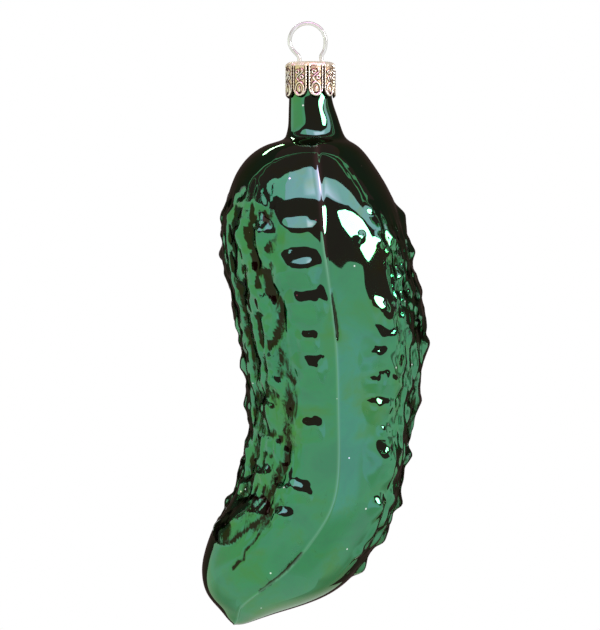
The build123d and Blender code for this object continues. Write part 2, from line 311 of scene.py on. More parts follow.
def strewn_bumps(points, along, degrees, furrows):
    """Relief of the warts round the back and of the pimples: domes on the distance from their middles, with
    seeded places and sizes."""
    draw = np.random.default_rng(BUMP_SEED)
    down = along[:, 0]
    relief = np.zeros(furrows.shape)
    for angle, first, count in BACK_WARTS:
        for distance in first + BACK_WART_PITCH * np.arange(count):
            stray = draw.uniform(-BACK_WART_STRAY, BACK_WART_STRAY)
            turn = angle - draw.uniform(-BACK_WART_STRAY_TURN, BACK_WART_STRAY_TURN)
            row = np.abs(down - distance - stray).argmin()
            column = np.abs((degrees[0] - turn + 180) % 360 - 180).argmin()
            share = np.linalg.norm(points - points[row, column], axis=-1) / draw.uniform(*BACK_WART_RADII)
            relief = relief + draw.uniform(*BACK_WART_HEIGHTS) * dome(share**2, EDGE_CREST)
    spans = (PIMPLE_PLACES, PIMPLE_TURNS, PIMPLE_RADII)
    for distance, turn, radius in np.stack([draw.uniform(*span, PIMPLES) for span in spans], axis=-1):
        row = np.abs(down - distance).argmin()
        column = np.abs(degrees[0] - turn * draw.choice((-1, 1))).argmin()
        pimple = dome((np.linalg.norm(points - points[row, column], axis=-1) / radius) ** 2, EDGE_CREST)
        relief = relief + PIMPLE_HEIGHT * radius * pimple * (1 - FURROW_CALM * furrows)
    return relief


# A long swelling over the toe, as seen from the front: X and Z of its two ends
TOE_SWELLING = np.array([(-16.9, -101.0), (-11.0, -96.2)])
SWELLING_RADIUS, SWELLING_HEIGHT, SWELLING_POWER = 2.6, 0.80, 0.7
SWELLING_CALM = 0.7  # share that other relief loses on it
SWELLING_CALM_REACH = (0.7, 1.4)  # shares of its radius, between which that loss ends
SWELLING_SINKS, SWELLING_LOSS = (-15.5, -9.5), 0.5  # X between which it loses this share of its height
# Folds beside the seam and in the toe, as seen from the front: X and Z along each
FOLDS = [
    np.array([(4.1, -53.6), (4.7, -57.5), (5.2, -62.3)]),
    np.array([(-10.1, -100.9), (-11.4, -102.9), (-13.0, -104.4), (-13.3, -106.2), (-14.3, -106.7),
              (-15.2, -107.9)]),
    np.array([(-1.6, -104.6), (-4.2, -107.4), (-7.2, -110.2), (-10.0, -112.4)]),
]
FOLD_DEPTH, FOLD_WIDTH = 0.22, 0.40


def from_line(view, line):
    """Distance in the front view from a line of points: the least of the distances from its stretches."""
    gap = np.full(view.shape[:2], np.inf)
    for start, end in zip(line[:-1], line[1:]):
        step = np.clip((view - start) @ (end - start) / ((end - start) @ (end - start)), 0, 1)[:, :, None]
        gap = np.minimum(gap, np.linalg.norm(view - start - step * (end - start), axis=-1))
    return gap


# Painted shade in the hollows: how far round a hollow is judged, in cells, how deep it is when the shade is
# full, and how the shade fades
HOLLOW_CELLS, HOLLOW_DEPTH = 4, 0.13
POOLS_FULL, POOLS_FADE, POOLS_LOSS = 1.25, (30, 60), 0.45
RIGHT_POOLS_TURN, RIGHT_POOLS_LOSS = (0, 30), 0.45
RIGHT_POOLS_FADE, RIGHT_POOLS_FURTHER_LOSS = (55, 75), 0.25
FURROW_POOLS = 0.75
# Painted shade on the toe's swelling: shares of its height at its foot and its rim, and distances from its
# outer end
SWELLING_FOOT, SWELLING_RIM, SWELLING_END = (0, 0.12), (0.40, 0.72), (1.2, 2.8)
SWELLING_POOLS, SWELLING_RIM_POOLS, SWELLING_END_POOLS = 0.34, 0.45, 0.5


def softened(values, cells):
    """Values on a grid that wraps, each averaged with its neighbours: a bell of that many cells, laid on them
    by weighing their waves."""
    waves = np.hypot(np.fft.fftfreq(values.shape[0])[:, None], np.fft.rfftfreq(values.shape[1]))
    return np.fft.irfft2(np.fft.rfft2(values) * np.exp(-2 * (np.pi * cells * waves) ** 2), s=values.shape)


def lacquer_pools(relief, along, degrees, sides, view, swelling):
    """Where shade is painted in as a dark tint, from 0 to 1: on the sides, where the relief lies below its
    softened self, less so further down and on the right, and on the swelling, most at its rim and its end."""
    pools = sides * ease(0, HOLLOW_DEPTH, softened(relief, HOLLOW_CELLS) - relief)
    pools = pools * (POOLS_FULL - POOLS_LOSS * ease(*POOLS_FADE, along))
    right_loss = RIGHT_POOLS_LOSS + RIGHT_POOLS_FURTHER_LOSS * ease(*RIGHT_POOLS_FADE, along)
    pools = pools * (1 - right_loss * ease(*RIGHT_POOLS_TURN, degrees))
    swollen = ease(*SWELLING_FOOT, swelling)
    rim = swollen * (1 - ease(*SWELLING_RIM, swelling))
    end = 1 - ease(*SWELLING_END, np.linalg.norm(view - TOE_SWELLING[0], axis=-1))
    on_swelling = np.clip(SWELLING_POOLS + SWELLING_RIM_POOLS * rim + SWELLING_END_POOLS * end, 0, 1)
    return pools * (1 - swollen) + on_swelling * swollen


def pickle_relief(points, middle, around):
    """How far the blown skin stands out of the smooth one: the sum of its seam, furrows, wrinkles, warts and
    pimples, calmed where the toe's swelling is added, a rounded ridge, less the folds, which are bell-shaped
    valleys. Also gives where the sides are wrinkled, where shade is painted dark into hollows, furrows, folds
    and the swelling, and where a highlight is painted pale along the seam."""
    along = np.append(0, np.cumsum(np.hypot(*np.diff(middle, axis=0).T)))[:, None]
    along = along - np.interp(0, middle[:, 1], along[:, 0])
    degrees = np.degrees((around + np.pi) % (2 * np.pi) - np.pi)[None, :]
    from_middle = np.linalg.norm(points - points.mean(axis=1, keepdims=True), axis=-1)
    front = points[:, :, 1] < 0
    view = points[:, :, ::2]
    sides = wrinkled_sides(along, degrees)
    seam_relief, pale_line = seam_ridge(along, np.abs(np.sin(around)) * from_middle)
    furrow_relief, furrows = furrow_valleys(along, degrees)
    relief = seam_relief + furrow_relief + mould_wrinkles(along, degrees, sides, furrows)
    relief = relief + raised_warts(points, front) + strewn_bumps(points, along, degrees, furrows)
    from_swelling = from_line(view, TOE_SWELLING) / SWELLING_RADIUS
    swelling = np.clip(1 - from_swelling**2, 0, 1) ** SWELLING_POWER * front
    relief = relief * (1 - SWELLING_CALM * front * (1 - ease(*SWELLING_CALM_REACH, from_swelling)))
    sinking = 1 - SWELLING_LOSS * ease(*SWELLING_SINKS, view[:, :, 0])
    relief = relief + SWELLING_HEIGHT * swelling * sinking
    pools = lacquer_pools(relief, along, degrees, sides, view, swelling)
    # Each fold's valley is painted dark as well: painted shade in the crease.
    for fold in FOLDS:
        valley = np.exp(-((from_line(view, fold) / FOLD_WIDTH) ** 2)) * front
        relief = relief - FOLD_DEPTH * valley
        pools = np.maximum(pools, valley)
    # The furrows' valleys get painted shade too, at a set share.
    return relief, sides, np.maximum(pools, FURROW_POOLS * furrows), pale_line


def closed_grid(rows, columns):
    """Quads of a grid that is closed around, with one point before its first row and one after its last, to
    which triangles close it."""
    i, j = np.meshgrid(np.arange(rows - 1), np.arange(columns), indexing="ij")
    a, b = i * columns + j, i * columns + (j + 1) % columns
    quads = np.stack([a, a + columns, b + columns, b], axis=-1).reshape(-1, 4)
    ring = np.arange(columns)
    following = (ring + 1) % columns
    last = (rows - 1) * columns
    start = np.stack([np.full(columns, rows * columns), ring, following], axis=-1)
    end = np.stack([last + ring, np.full(columns, rows * columns + 1), last + following], axis=-1)
    return quads, np.vstack([start, end])


def put_in_mesh(name, points, quads, triangles):
    """An object of that name, with its points in millimetres and smooth faces."""
    corners = np.concatenate([quads.ravel(), triangles.ravel()])
    sizes = np.concatenate([np.full(len(quads), 4), np.full(len(triangles), 3)])
    mesh = bpy.data.meshes.new(name)
    mesh.vertices.add(len(points))
    mesh.vertices.foreach_set("co", (points * MM).ravel())
    mesh.loops.add(len(corners))
    mesh.loops.foreach_set("vertex_index", corners)
    mesh.polygons.add(len(sizes))
    mesh.polygons.foreach_set("loop_start", np.append(0, np.cumsum(sizes)[:-1]))
    mesh.polygons.foreach_set("use_smooth", np.ones(len(sizes), bool))
    mesh.update(calc_edges=True)
    mesh.validate()
    piece = bpy.data.objects.new(name, mesh)
    bpy.context.scene.collection.objects.link(piece)
    return piece


def put_on_points(piece, name, values):
    """A value for each point, for the material to read by name."""
    attribute = piece.data.attributes.new(name, "FLOAT", "POINT")
    attribute.data.foreach_set("value", values.astype(np.float32).ravel())


# The glass's grid: its inside from the toe up, then the lip, then its outside from the lip down to the tip
COLUMNS = 320
INNER_ROWS, LIP_ROWS, OUTER_ROWS = 34, 8, 256
SEAM_GATHER = 0.2  # how much closer together the columns stand at the two seams
LIP_HEIGHT = 0.35
SKIN_LENGTH = 115  # about, from the rim to the tip
INNER_END = 0.975  # share of that length at which the inside ends
INNER_TIP = 0.2  # share of the way from there to the tip at which it closes

even = np.linspace(0, 2 * np.pi, COLUMNS, endpoint=False)
around = even - SEAM_GATHER * np.sin(2 * even)
lip_share = LIP_HEIGHT / SKIN_LENGTH
outer_base, outer_middle = pickle_skin(np.linspace(lip_share, 1, OUTER_ROWS + 1)[:-1], around, 0)
relief, sides, pools, pale_line = pickle_relief(outer_base, outer_middle, around)
outer = outer_base + facing_out(outer_base) * relief[:, :, None]
inner = pickle_skin(np.linspace(INNER_END, lip_share, INNER_ROWS), around, 1)[0]
lip_turn = np.linspace(np.pi, 0, LIP_ROWS)[1:-1, None]
lip_radius = NECK_RADIUS - GLASS_WALL / 2 + GLASS_WALL / 2 * np.cos(lip_turn)
lip_place = around + np.radians(SEAM_TURNS[0])
lip_z = RIM_Z - LIP_HEIGHT + LIP_HEIGHT * np.sin(lip_turn) + 0 * lip_place
lip = np.stack([lip_radius * np.sin(lip_place), -lip_radius * np.cos(lip_place), lip_z], axis=-1)
glass_rows = np.concatenate([inner, lip, outer])
tip = np.array([[PICKLE_TIP[0], 0, NECK_FOOT_Z - PICKLE_TIP[1]]])
inner_middle = inner[:1].mean(axis=1)
inner_tip = inner_middle + (tip - inner_middle) * INNER_TIP
glass_points = np.concatenate([glass_rows.reshape(-1, 3), inner_tip, tip])
glass_quads, glass_ends = closed_grid(len(glass_rows), COLUMNS)
glass = put_in_mesh("pickle_glass", glass_points, glass_quads, glass_ends)
unseen = np.zeros((len(inner) + len(lip)) * COLUMNS)
for name, values in (("wrinkled", sides), ("pooled", pools), ("seam", pale_line)):
    put_on_points(glass, name, np.concatenate([unseen, values.ravel(), [0, 0]]))
inside = np.zeros(len(glass.data.polygons), np.int32)
inside[: (INNER_ROWS - 1) * COLUMNS] = 1
inside[len(glass_quads): len(glass_quads) + COLUMNS] = 1
glass.data.polygons.foreach_set("material_index", inside)


def put(tree, kind, inputs=None, **settings):
    """Adds a node: an input that is given as a socket is linked, and any other value is set on it."""
    made = tree.nodes.new(kind)
    for name, value in settings.items():
        setattr(made, name, value)
    for name, value in (inputs or {}).items():
        if isinstance(value, bpy.types.NodeSocket):
            tree.links.new(value, made.inputs[name])
        else:
            made.inputs[name].default_value = value
    return made


def ramp(tree, factor, stops):
    """A colour ramp through (place, colour) stops."""
    made = put(tree, "ShaderNodeValToRGB", {"Fac": factor})
    elements = made.color_ramp.elements
    while len(elements) < len(stops):
        elements.new(0.5)
    for element, (place, colour) in zip(elements, stops):
        element.position = place
        element.color = (*colour, 1)
    return made.outputs["Color"]


def spread(tree, value, low, high, start=0.0, end=1.0):
    """The value's range from low to high, spread from start to end and held there beyond it."""
    inputs = {"Value": value, "From Min": low, "From Max": high, "To Min": start, "To Max": end}
    return put(tree, "ShaderNodeMapRange", inputs).outputs[0]


def blend(tree, factor, first, second):
    """The mix of two colours by a factor."""
    mixed = put(tree, "ShaderNodeMix", {"Factor": factor, "A": first, "B": second}, data_type="RGBA")
    return [output for output in mixed.outputs if output.type == "RGBA"][0]


def from_points(tree, name):
    """The value that the points carry under that name."""
    return put(tree, "ShaderNodeAttribute", attribute_name=name).outputs["Fac"]


def place_of(tree, scale_down=1.0):
    """Place on the piece, with its height scaled, so that a pattern is drawn out downwards."""
    place = put(tree, "ShaderNodeTexCoord").outputs["Object"]
    return put(tree, "ShaderNodeMapping", {"Vector": place, "Scale": (1.0, 1.0, scale_down)}).outputs[0]


def new_material(name):
    """An empty material, with its tree and its Principled shader."""
    material = bpy.data.materials.new(name)
    material.use_nodes = True
    tree = material.node_tree
    return material, tree, tree.nodes["Principled BSDF"]


# Smudges and dust, as on anything that is handled: cloudy patches and fine grains, for all three pieces
smudges = bpy.data.node_groups.new("handling_smudges", "ShaderNodeTree")
for socket_name, usual in (("Patch Scale", 90.0), ("Grain Scale", 2600.0)):
    socket = smudges.interface.new_socket(socket_name, in_out="INPUT", socket_type="NodeSocketFloat")
    socket.default_value = usual
for socket_name in ("Patches", "Grains"):
    smudges.interface.new_socket(socket_name, in_out="OUTPUT", socket_type="NodeSocketFloat")
smudge_scales = smudges.nodes.new("NodeGroupInput").outputs
smudge_place = smudges.nodes.new("ShaderNodeTexCoord").outputs["Object"]
patch_noise = put(smudges, "ShaderNodeTexNoise", {
    "Vector": smudge_place, "Scale": smudge_scales["Patch Scale"],
    "Detail": 4.0, "Roughness": 0.6, "Distortion": 0.4})
grain_noise = put(smudges, "ShaderNodeTexNoise", {
    "Vector": smudge_place, "Scale": smudge_scales["Grain Scale"], "Detail": 2.0, "Roughness": 0.7})
put(smudges, "NodeGroupOutput", {
    "Patches": spread(smudges, patch_noise.outputs["Fac"], 0.35, 0.68),
    "Grains": spread(smudges, grain_noise.outputs["Fac"], 0.30, 0.70)})


def handled(tree, **scales):
    """The smudges in a material: their patches and their grains."""
    marks = put(tree, "ShaderNodeGroup", node_tree=smudges)
    for name, scale in scales.items():
        marks.inputs[name.replace("_", " ").title()].default_value = scale
    return marks.outputs["Patches"], marks.outputs["Grains"]


# The lacquer over the silver: a tinted mirror, with shade painted dark into its hollows, furrows and folds
# and on the toe's swelling, a highlight painted pale along the seam, and a few glints painted as pale dots
GREEN_TINTS = [(0.0, (0.019, 0.205, 0.088)), (0.5, (0.022, 0.235, 0.092)), (1.0, (0.034, 0.218, 0.044))]
POOL_TINT = (0.020, 0.020, 0.008, 1)
SEAM_TINT = (0.16, 0.42, 0.26, 1)
SPECK_TINT = (0.80, 0.90, 0.84, 1)
GRAZING_TINT = (0.10, 0.42, 0.20, 1)
POOL_PULL = 0.38  # how much a hollow adds to the noise that breaks the painted shade up

lacquer, tree, shader = new_material("green_lacquer_over_silver")
patches = handled(tree, patch_scale=110.0)[0]
pool_noise = put(tree, "ShaderNodeTexNoise", {
    "Vector": place_of(tree, 0.4), "Scale": 520.0, "Detail": 6.0, "Roughness": 0.72, "Distortion": 0.6})
pooled = put(tree, "ShaderNodeMath", {
    0: from_points(tree, "pooled"), 1: POOL_PULL, 2: pool_noise.outputs["Fac"]}, operation="MULTIPLY_ADD")
pooled = spread(tree, pooled.outputs[0], 0.66, 0.80)
# Painted glints: pale dots laid into the colour where the Voronoi distance is small.
specks = put(tree, "ShaderNodeTexVoronoi", {"Vector": place_of(tree), "Scale": 280.0})
# Painted shade: the mask mixes the dark tint into the colour.
tint = blend(tree, pooled, ramp(tree, patches, GREEN_TINTS), POOL_TINT)
# Painted highlight: the seam's ridge is tinted pale.
tint = blend(tree, from_points(tree, "seam"), tint, SEAM_TINT)
tint = blend(tree, spread(tree, specks.outputs["Distance"], 0.060, 0.040), tint, SPECK_TINT)
tree.links.new(tint, shader.inputs["Base Color"])
tree.links.new(spread(tree, patches, 0.0, 1.0, 0.022, 0.048), shader.inputs["Roughness"])
shader.inputs["Metallic"].default_value = 1.0
shader.inputs["Specular Tint"].default_value = GRAZING_TINT
# Less coat where the shade is painted, so that it reads dark.
tree.links.new(spread(tree, pooled, 0.0, 1.0, 1.0, 0.12), shader.inputs["Coat Weight"])
shader.inputs["Coat Roughness"].default_value = 0.02
fine_wrinkles = put(tree, "ShaderNodeTexNoise", {
    "Vector": place_of(tree, 0.35), "Scale": 900.0, "Detail": 3.0, "Roughness": 0.55})
wrinkle_height = put(tree, "ShaderNodeMath", {
    0: fine_wrinkles.outputs["Fac"], 1: from_points(tree, "wrinkled")}, operation="MULTIPLY")
bumps = put(tree, "ShaderNodeBump", {
    "Height": wrinkle_height.outputs[0], "Strength": 0.35, "Distance": 0.0003})
tree.links.new(bumps.outputs[0], shader.inputs["Normal"])
glass.data.materials.append(lacquer)

# The silver on the inside, which shows in the open neck
SILVER_TINTS = [(0.0, (0.50, 0.47, 0.40)), (1.0, (0.70, 0.69, 0.66))]
silvering, tree, shader = new_material("silvering_inside")
patches, grains = handled(tree)
tree.links.new(ramp(tree, patches, SILVER_TINTS), shader.inputs["Base Color"])
tree.links.new(spread(tree, grains, 0.0, 1.0, 0.22, 0.42), shader.inputs["Roughness"])
shader.inputs["Metallic"].default_value = 1.0
glass.data.materials.append(silvering)
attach(glass, "pickle")
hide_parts("glass_pickle")

# Crown cap: a cup of thin gold-coloured sheet, stamped in one go with scrolls and leaves, its skirt cut into
# nine petals that sit close round the neck. Dark wax stays in the stamped lines. Two slots take the wire.
CAP_TOP_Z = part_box("crown_cap")[1].z / MM
PETAL_TIP_DROP = 0.3  # how much lower the petals' tips are than the solid's
PETAL_TIP_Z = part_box("crown_cap")[0].z / MM - PETAL_TIP_DROP
SKIRT_RADIUS = 4.85
CAP_SHEET = 0.3
CAP_CORNER = 0.9
PETALS = 9
PETAL_TURN = 13.0
PETAL_ROUND = 2.1  # from a petal's tip up to where it parts from its neighbours
SLOT_MIDDLE = 2.525
SLOT_LENGTH = 1.85
SLOT_WIDTH = 1.2
SLOT_SIDES = 48
PUNCH_CLEAR = 0.5  # how far the punch reaches past both faces of the sheet
CAP_COLUMNS = 40 * PETALS
OUTSIDE_ROWS, INSIDE_ROWS = (12, 8, 70), (10, 6, 24)  # across the top, round the corner, down the skirt
CAP_POLE_RADIUS = 0.15
# A petal's pattern: shares of the way out to its edge, then millimetres across it and up from its tip
PETAL_LINE, PETAL_LINE_WIDTH = 0.80, 0.11
PETAL_CUT, PETAL_GROOVE = (0.93, 1.0), (0.86, 1.0)
BEAD_DEPTH, BEAD_PITCH = 0.18, 0.62
LEAF_HALF, LEAF_HEIGHT, LEAF_MIDDLE, LEAF_LINE = 0.86, 1.25, 1.75, 0.17
DROP_HALF, DROP_HEIGHT, DROP_MIDDLE = 0.34, 0.75, 1.60
SCROLL_SWING, SCROLL_MIDDLE, SCROLL_LENGTH, SCROLL_LINE = 0.62, 4.55, 2.7, 0.19
SCROLL_START, SCROLL_END = (3.1, 3.4), (5.6, 5.9)
CURLS = [(0.45, 4.0), (-0.45, 5.1)]
CURL_RADIUS, CURL_LINE = 0.34, 0.14
STAMPING_HEIGHT = 0.20
PLAIN_STAMPING, INSIDE_STAMPING, GROOVE_STAMPING = 0.75, 0.4, 0.6  # what the material reads off the pattern


def bell(value, middle, width):
    """A bell of height one: exp of minus the square of the distance from its middle, over its width."""
    return np.exp(-(((value - middle) / width) ** 2))


def stamped_petal(x, w, half):
    """Relief of one petal at x across it and w above its tip: a raised, beaded line follows its outline, an
    oval leaf with a drop inside fills its tip, and an S scroll with two curled ends stands above the leaf.
    Also gives the groove along its edge."""
    rounded = np.hypot(x / half, (PETAL_ROUND - w) / PETAL_ROUND)
    edge = np.where(w < PETAL_ROUND, rounded, np.abs(x) / half)
    beads = 1 - BEAD_DEPTH + BEAD_DEPTH * np.cos(2 * np.pi * w / BEAD_PITCH)
    outline = bell(edge, PETAL_LINE, PETAL_LINE_WIDTH) * beads
    leaf = bell(np.hypot(x / LEAF_HALF, (w - LEAF_MIDDLE) / LEAF_HEIGHT), 1.0, LEAF_LINE)
    drop = np.clip(1 - np.hypot(x / DROP_HALF, (w - DROP_MIDDLE) / DROP_HEIGHT) ** 2, 0, 1)
    swing = SCROLL_SWING * np.sin(2 * np.pi * (w - SCROLL_MIDDLE) / SCROLL_LENGTH)
    scroll = bell(x, swing, SCROLL_LINE) * ease(*SCROLL_START, w) * (1 - ease(*SCROLL_END, w))
    curls = sum(bell(np.hypot(x - curl_x, w - curl_w), CURL_RADIUS, CURL_LINE) for curl_x, curl_w in CURLS)
    raised = np.maximum.reduce([outline, leaf, drop, scroll, np.clip(curls, 0, 1)])
    return raised * (1 - ease(*PETAL_CUT, edge)), ease(*PETAL_GROOVE, edge)


cap_angles = np.linspace(0, 2 * np.pi, CAP_COLUMNS, endpoint=False)
pitch = 2 * np.pi / PETALS
petal_place = (cap_angles - np.radians(PETAL_TURN) + pitch / 2) % pitch - pitch / 2
half_petal = SKIRT_RADIUS * pitch / 2
petal_x = petal_place * SKIRT_RADIUS
scallop = PETAL_TIP_Z + PETAL_ROUND * (1 - np.sqrt(np.clip(1 - (petal_x / half_petal) ** 2, 0, 1)))


def cap_face(inset, rows, raise_by):
    """One face of the sheet as rows of radius and height: out across the top, round the corner and down the
    skirt to the scalloped edge, where the stamping is added to the radius. Also gives the pattern."""
    radius, top_z, corner = SKIRT_RADIUS - inset, CAP_TOP_Z - inset, CAP_CORNER - inset
    top_rows, corner_rows, skirt_rows = rows
    flat = np.linspace(CAP_POLE_RADIUS, radius - corner, top_rows)[:, None] + 0 * cap_angles
    turn = np.linspace(0, np.pi / 2, corner_rows + 1)[1:, None]
    down = np.linspace(0, 1, skirt_rows + 1)[1:, None]
    skirt_z = (top_z - corner) * (1 - down) + scallop * down
    raised, groove = stamped_petal(petal_x + 0 * skirt_z, skirt_z - PETAL_TIP_Z, half_petal)
    stamping = raise_by * (raised - groove)
    corner_r = radius - corner + corner * np.sin(turn) + np.sin(turn) ** 2 * stamping[:1]
    corner_z = top_z - corner + corner * np.cos(turn) + 0 * corner_r
    radii = np.concatenate([flat, corner_r, radius + stamping])
    heights = np.concatenate([top_z + 0 * flat, corner_z, skirt_z])
    plain = np.full((top_rows + corner_rows, CAP_COLUMNS), PLAIN_STAMPING)
    pattern = np.concatenate([plain, raised - GROOVE_STAMPING * groove])
    return np.stack([radii * np.sin(cap_angles), -radii * np.cos(cap_angles), heights], axis=-1), pattern


cap_outside, cap_pattern = cap_face(0, OUTSIDE_ROWS, STAMPING_HEIGHT)
cap_inside = cap_face(CAP_SHEET, INSIDE_ROWS, 0)[0]
cap_rows = np.concatenate([cap_outside, cap_inside[::-1]])
cap_poles = np.array([[0, 0, CAP_TOP_Z], [0, 0, CAP_TOP_Z - CAP_SHEET]])
cap_quads, cap_ends = closed_grid(len(cap_rows), CAP_COLUMNS)
cap = put_in_mesh("stamped_cap", np.concatenate([cap_rows.reshape(-1, 3), cap_poles]), cap_quads, cap_ends)
inside_pattern = np.full(cap_inside.shape[:2], INSIDE_STAMPING)
put_on_points(cap, "stamping", np.concatenate([
    cap_pattern.ravel(), inside_pattern.ravel(), [PLAIN_STAMPING, INSIDE_STAMPING]]))
plain_top = ease(CAP_TOP_Z - CAP_CORNER, CAP_TOP_Z - CAP_CORNER / 2, cap_outside[:, :, 2])
put_on_points(cap, "plain_top", np.concatenate([plain_top.ravel(), 0 * inside_pattern.ravel(), [1, 0]]))

# The two slots are punched through the top
slot_turn = np.linspace(0, 2 * np.pi, SLOT_SIDES, endpoint=False)
slot_x = SLOT_WIDTH / 2 * np.cos(slot_turn) + np.sign(np.cos(slot_turn)) * (SLOT_LENGTH - SLOT_WIDTH) / 2
slot_y = SLOT_WIDTH / 2 * np.sin(slot_turn)
punch_z = np.array([[CAP_TOP_Z + PUNCH_CLEAR], [CAP_TOP_Z - CAP_SHEET - PUNCH_CLEAR]])
punch_quads, punch_ends = closed_grid(len(punch_z), SLOT_SIDES)
for side in (-1, 1):
    middle_x = side * SLOT_MIDDLE
    walls = np.stack([slot_x + middle_x + 0 * punch_z, slot_y + 0 * punch_z, punch_z + 0 * slot_x], axis=-1)
    poles = np.hstack([np.full((2, 1), middle_x), np.zeros((2, 1)), punch_z])
    punch_points = np.concatenate([walls.reshape(-1, 3), poles])
    punch = put_in_mesh("punch", punch_points, punch_quads[:, ::-1], punch_ends[:, ::-1])
    cut = cap.modifiers.new("slot", "BOOLEAN")
    cut.object = punch
    cut.operation = "DIFFERENCE"
    punched = bpy.data.meshes.new_from_object(cap.evaluated_get(bpy.context.evaluated_depsgraph_get()))
    cap.modifiers.clear()
    cap.data = punched
    bpy.data.objects.remove(punch)

# The sheet: bright gold on what is raised, dark wax in the lines round it, and a duller, plain top
GOLD_TINTS = ((0.98, 0.83, 0.58, 1), (0.99, 0.93, 0.84, 1))
GROUND_TINTS = [
    (0.0, (0.012, 0.004, 0.003)), (0.43, (0.020, 0.007, 0.004)), (0.50, (0.86, 0.66, 0.44)),
    (0.54, (0.60, 0.38, 0.20)), (0.58, (0.014, 0.005, 0.003)), (1.0, (0.020, 0.008, 0.005)),
]
PLAIN_TOP_METAL = 0.35
gold, tree, shader = new_material("stamped_gold_sheet")
patches, grains = handled(tree, patch_scale=320.0, grain_scale=6000.0)
stamping = from_points(tree, "stamping")
ground = ramp(tree, spread(tree, stamping, -0.40, 0.40), GROUND_TINTS)
waxed = blend(tree, spread(tree, stamping, 0.40, 0.60), ground, blend(tree, patches, *GOLD_TINTS))
tree.links.new(waxed, shader.inputs["Base Color"])
tree.links.new(spread(tree, grains, 0.0, 1.0, 0.22, 0.40), shader.inputs["Roughness"])
metal = spread(tree, from_points(tree, "plain_top"), 0.0, 1.0, 1.0, PLAIN_TOP_METAL)
tree.links.new(metal, shader.inputs["Metallic"])
bumps = put(tree, "ShaderNodeBump", {"Height": grains, "Strength": 0.15, "Distance": 0.00005})
tree.links.new(bumps.outputs[0], shader.inputs["Normal"])
cap.data.materials.clear()
cap.data.materials.append(gold)
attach(cap, "cap")
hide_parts("crown_cap")

# Hanger: one length of bright spring wire, bent into a loop, nipped in at two shoulders above the cap, with
# two legs that go through the cap's slots and spread against the inside of the neck.
WIRE_RADIUS = 0.4
LOOP_RADIUS = 3.6
LOOP_Z = -3.2
SHOULDER = np.array([3.4, CAP_TOP_Z + 0.8])  # X and Z of the middle of a shoulder's bend
SHOULDER_BEND = 1.2
FOOT = np.array([2.85, CAP_TOP_Z - 12.6])  # X and Z of the end of a leg
LOOP_LEAN = 0.6  # the loop leans a little to the left above the cap
CROPPED_END = 0.8  # the wire's size at its cropped ends, as a share
WIRE_SIDES = 20
LEG_POINTS, SHOULDER_POINTS, LOOP_POINTS = 40, 16, 64


def arc(centre, radius, start, end, count):
    """Points of an arc in the XZ plane, from one angle to another."""
    turn = np.linspace(start, end, count)[:, None]
    return centre + radius * np.hstack([np.cos(turn), np.sin(turn)])


to_shoulder = SHOULDER - FOOT
leg_slope = np.arctan2(*to_shoulder[::-1]) + np.arcsin(SHOULDER_BEND / np.hypot(*to_shoulder))
to_loop = np.arctan2(LOOP_Z - SHOULDER[1], -SHOULDER[0])
shoulder_line = arc(SHOULDER, SHOULDER_BEND, leg_slope + np.pi / 2, to_loop, SHOULDER_POINTS)
leg_line = FOOT + np.linspace(0, 1, LEG_POINTS)[:-1, None] * (shoulder_line[0] - FOOT)
loop_line = arc(np.array([0, LOOP_Z]), LOOP_RADIUS, to_loop - np.pi, np.pi / 2, LOOP_POINTS)
half_wire = np.vstack([leg_line, shoulder_line[:-1], loop_line])
wire_line = np.vstack([half_wire, (half_wire * (-1, 1))[-2::-1]])
wire_line[:, 0] = wire_line[:, 0] - LOOP_LEAN * ease(CAP_TOP_Z, LOOP_Z, wire_line[:, 1])


def wire_tube(line, radius, sides):
    """A round tube along a line in the XZ plane: circles across its tangent, smaller at the ends, which are
    cropped with a small round edge. Also gives the circles' middles."""
    line = np.vstack([line[:1], line, line[-1:]])
    tangent = np.gradient(line, axis=0)
    tangent[0], tangent[-1] = tangent[1], tangent[-2]
    tangent = tangent / np.linalg.norm(tangent, axis=1, keepdims=True)
    size = np.full(len(line), radius)
    size[[0, -1]] = radius * CROPPED_END
    turn = np.linspace(0, 2 * np.pi, sides, endpoint=False)
    sideways = size[:, None] * np.cos(turn)
    return np.stack([line[:, :1] + tangent[:, 1:] * sideways, size[:, None] * np.sin(turn),
                     line[:, 1:] - tangent[:, :1] * sideways], axis=-1), line


wire_rows, wire_middle = wire_tube(wire_line, WIRE_RADIUS, WIRE_SIDES)
wire_ends = np.array([[wire_middle[k, 0], 0, wire_middle[k, 1]] for k in (0, -1)])
wire_quads, wire_caps = closed_grid(len(wire_rows), WIRE_SIDES)
wire_points = np.concatenate([wire_rows.reshape(-1, 3), wire_ends])
wire = put_in_mesh("wire_loop", wire_points, wire_quads, wire_caps)

WIRE_TINTS = [(0.0, (0.70, 0.72, 0.67)), (1.0, (0.91, 0.93, 0.89))]
bright, tree, shader = new_material("bright_spring_wire")
patches, grains = handled(tree, patch_scale=400.0)
tree.links.new(ramp(tree, patches, WIRE_TINTS), shader.inputs["Base Color"])
tree.links.new(spread(tree, grains, 0.0, 1.0, 0.12, 0.26), shader.inputs["Roughness"])
shader.inputs["Metallic"].default_value = 0.4
wire.data.materials.append(bright)
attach(wire, "hanger")
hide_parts("hanger_wire")

# Studio: a white room with a pale floor well below the hanging ornament. Cards that only the gloss sees stand
# round it: dark ones behind, above and in front draw the edges, and pale panels give the highlights.
STUDIO_MIDDLE = np.array([0, 0, -60.0])
FLOOR_Z = -500.0
FLOOR_RADII = (40.0, 300.0, 1200.0)
FLOOR_SIDES = 96
FLOOR_GLOW = 0.5  # share of its white that doesn't depend on the light, for what sees it directly or in gloss
world = bpy.data.worlds.new("white_room")
bpy.context.scene.world = world
world.use_nodes = True
world.node_tree.nodes["Background"].inputs["Color"].default_value = (1, 1, 1, 1)
world.node_tree.nodes["Background"].inputs["Strength"].default_value = 1.0

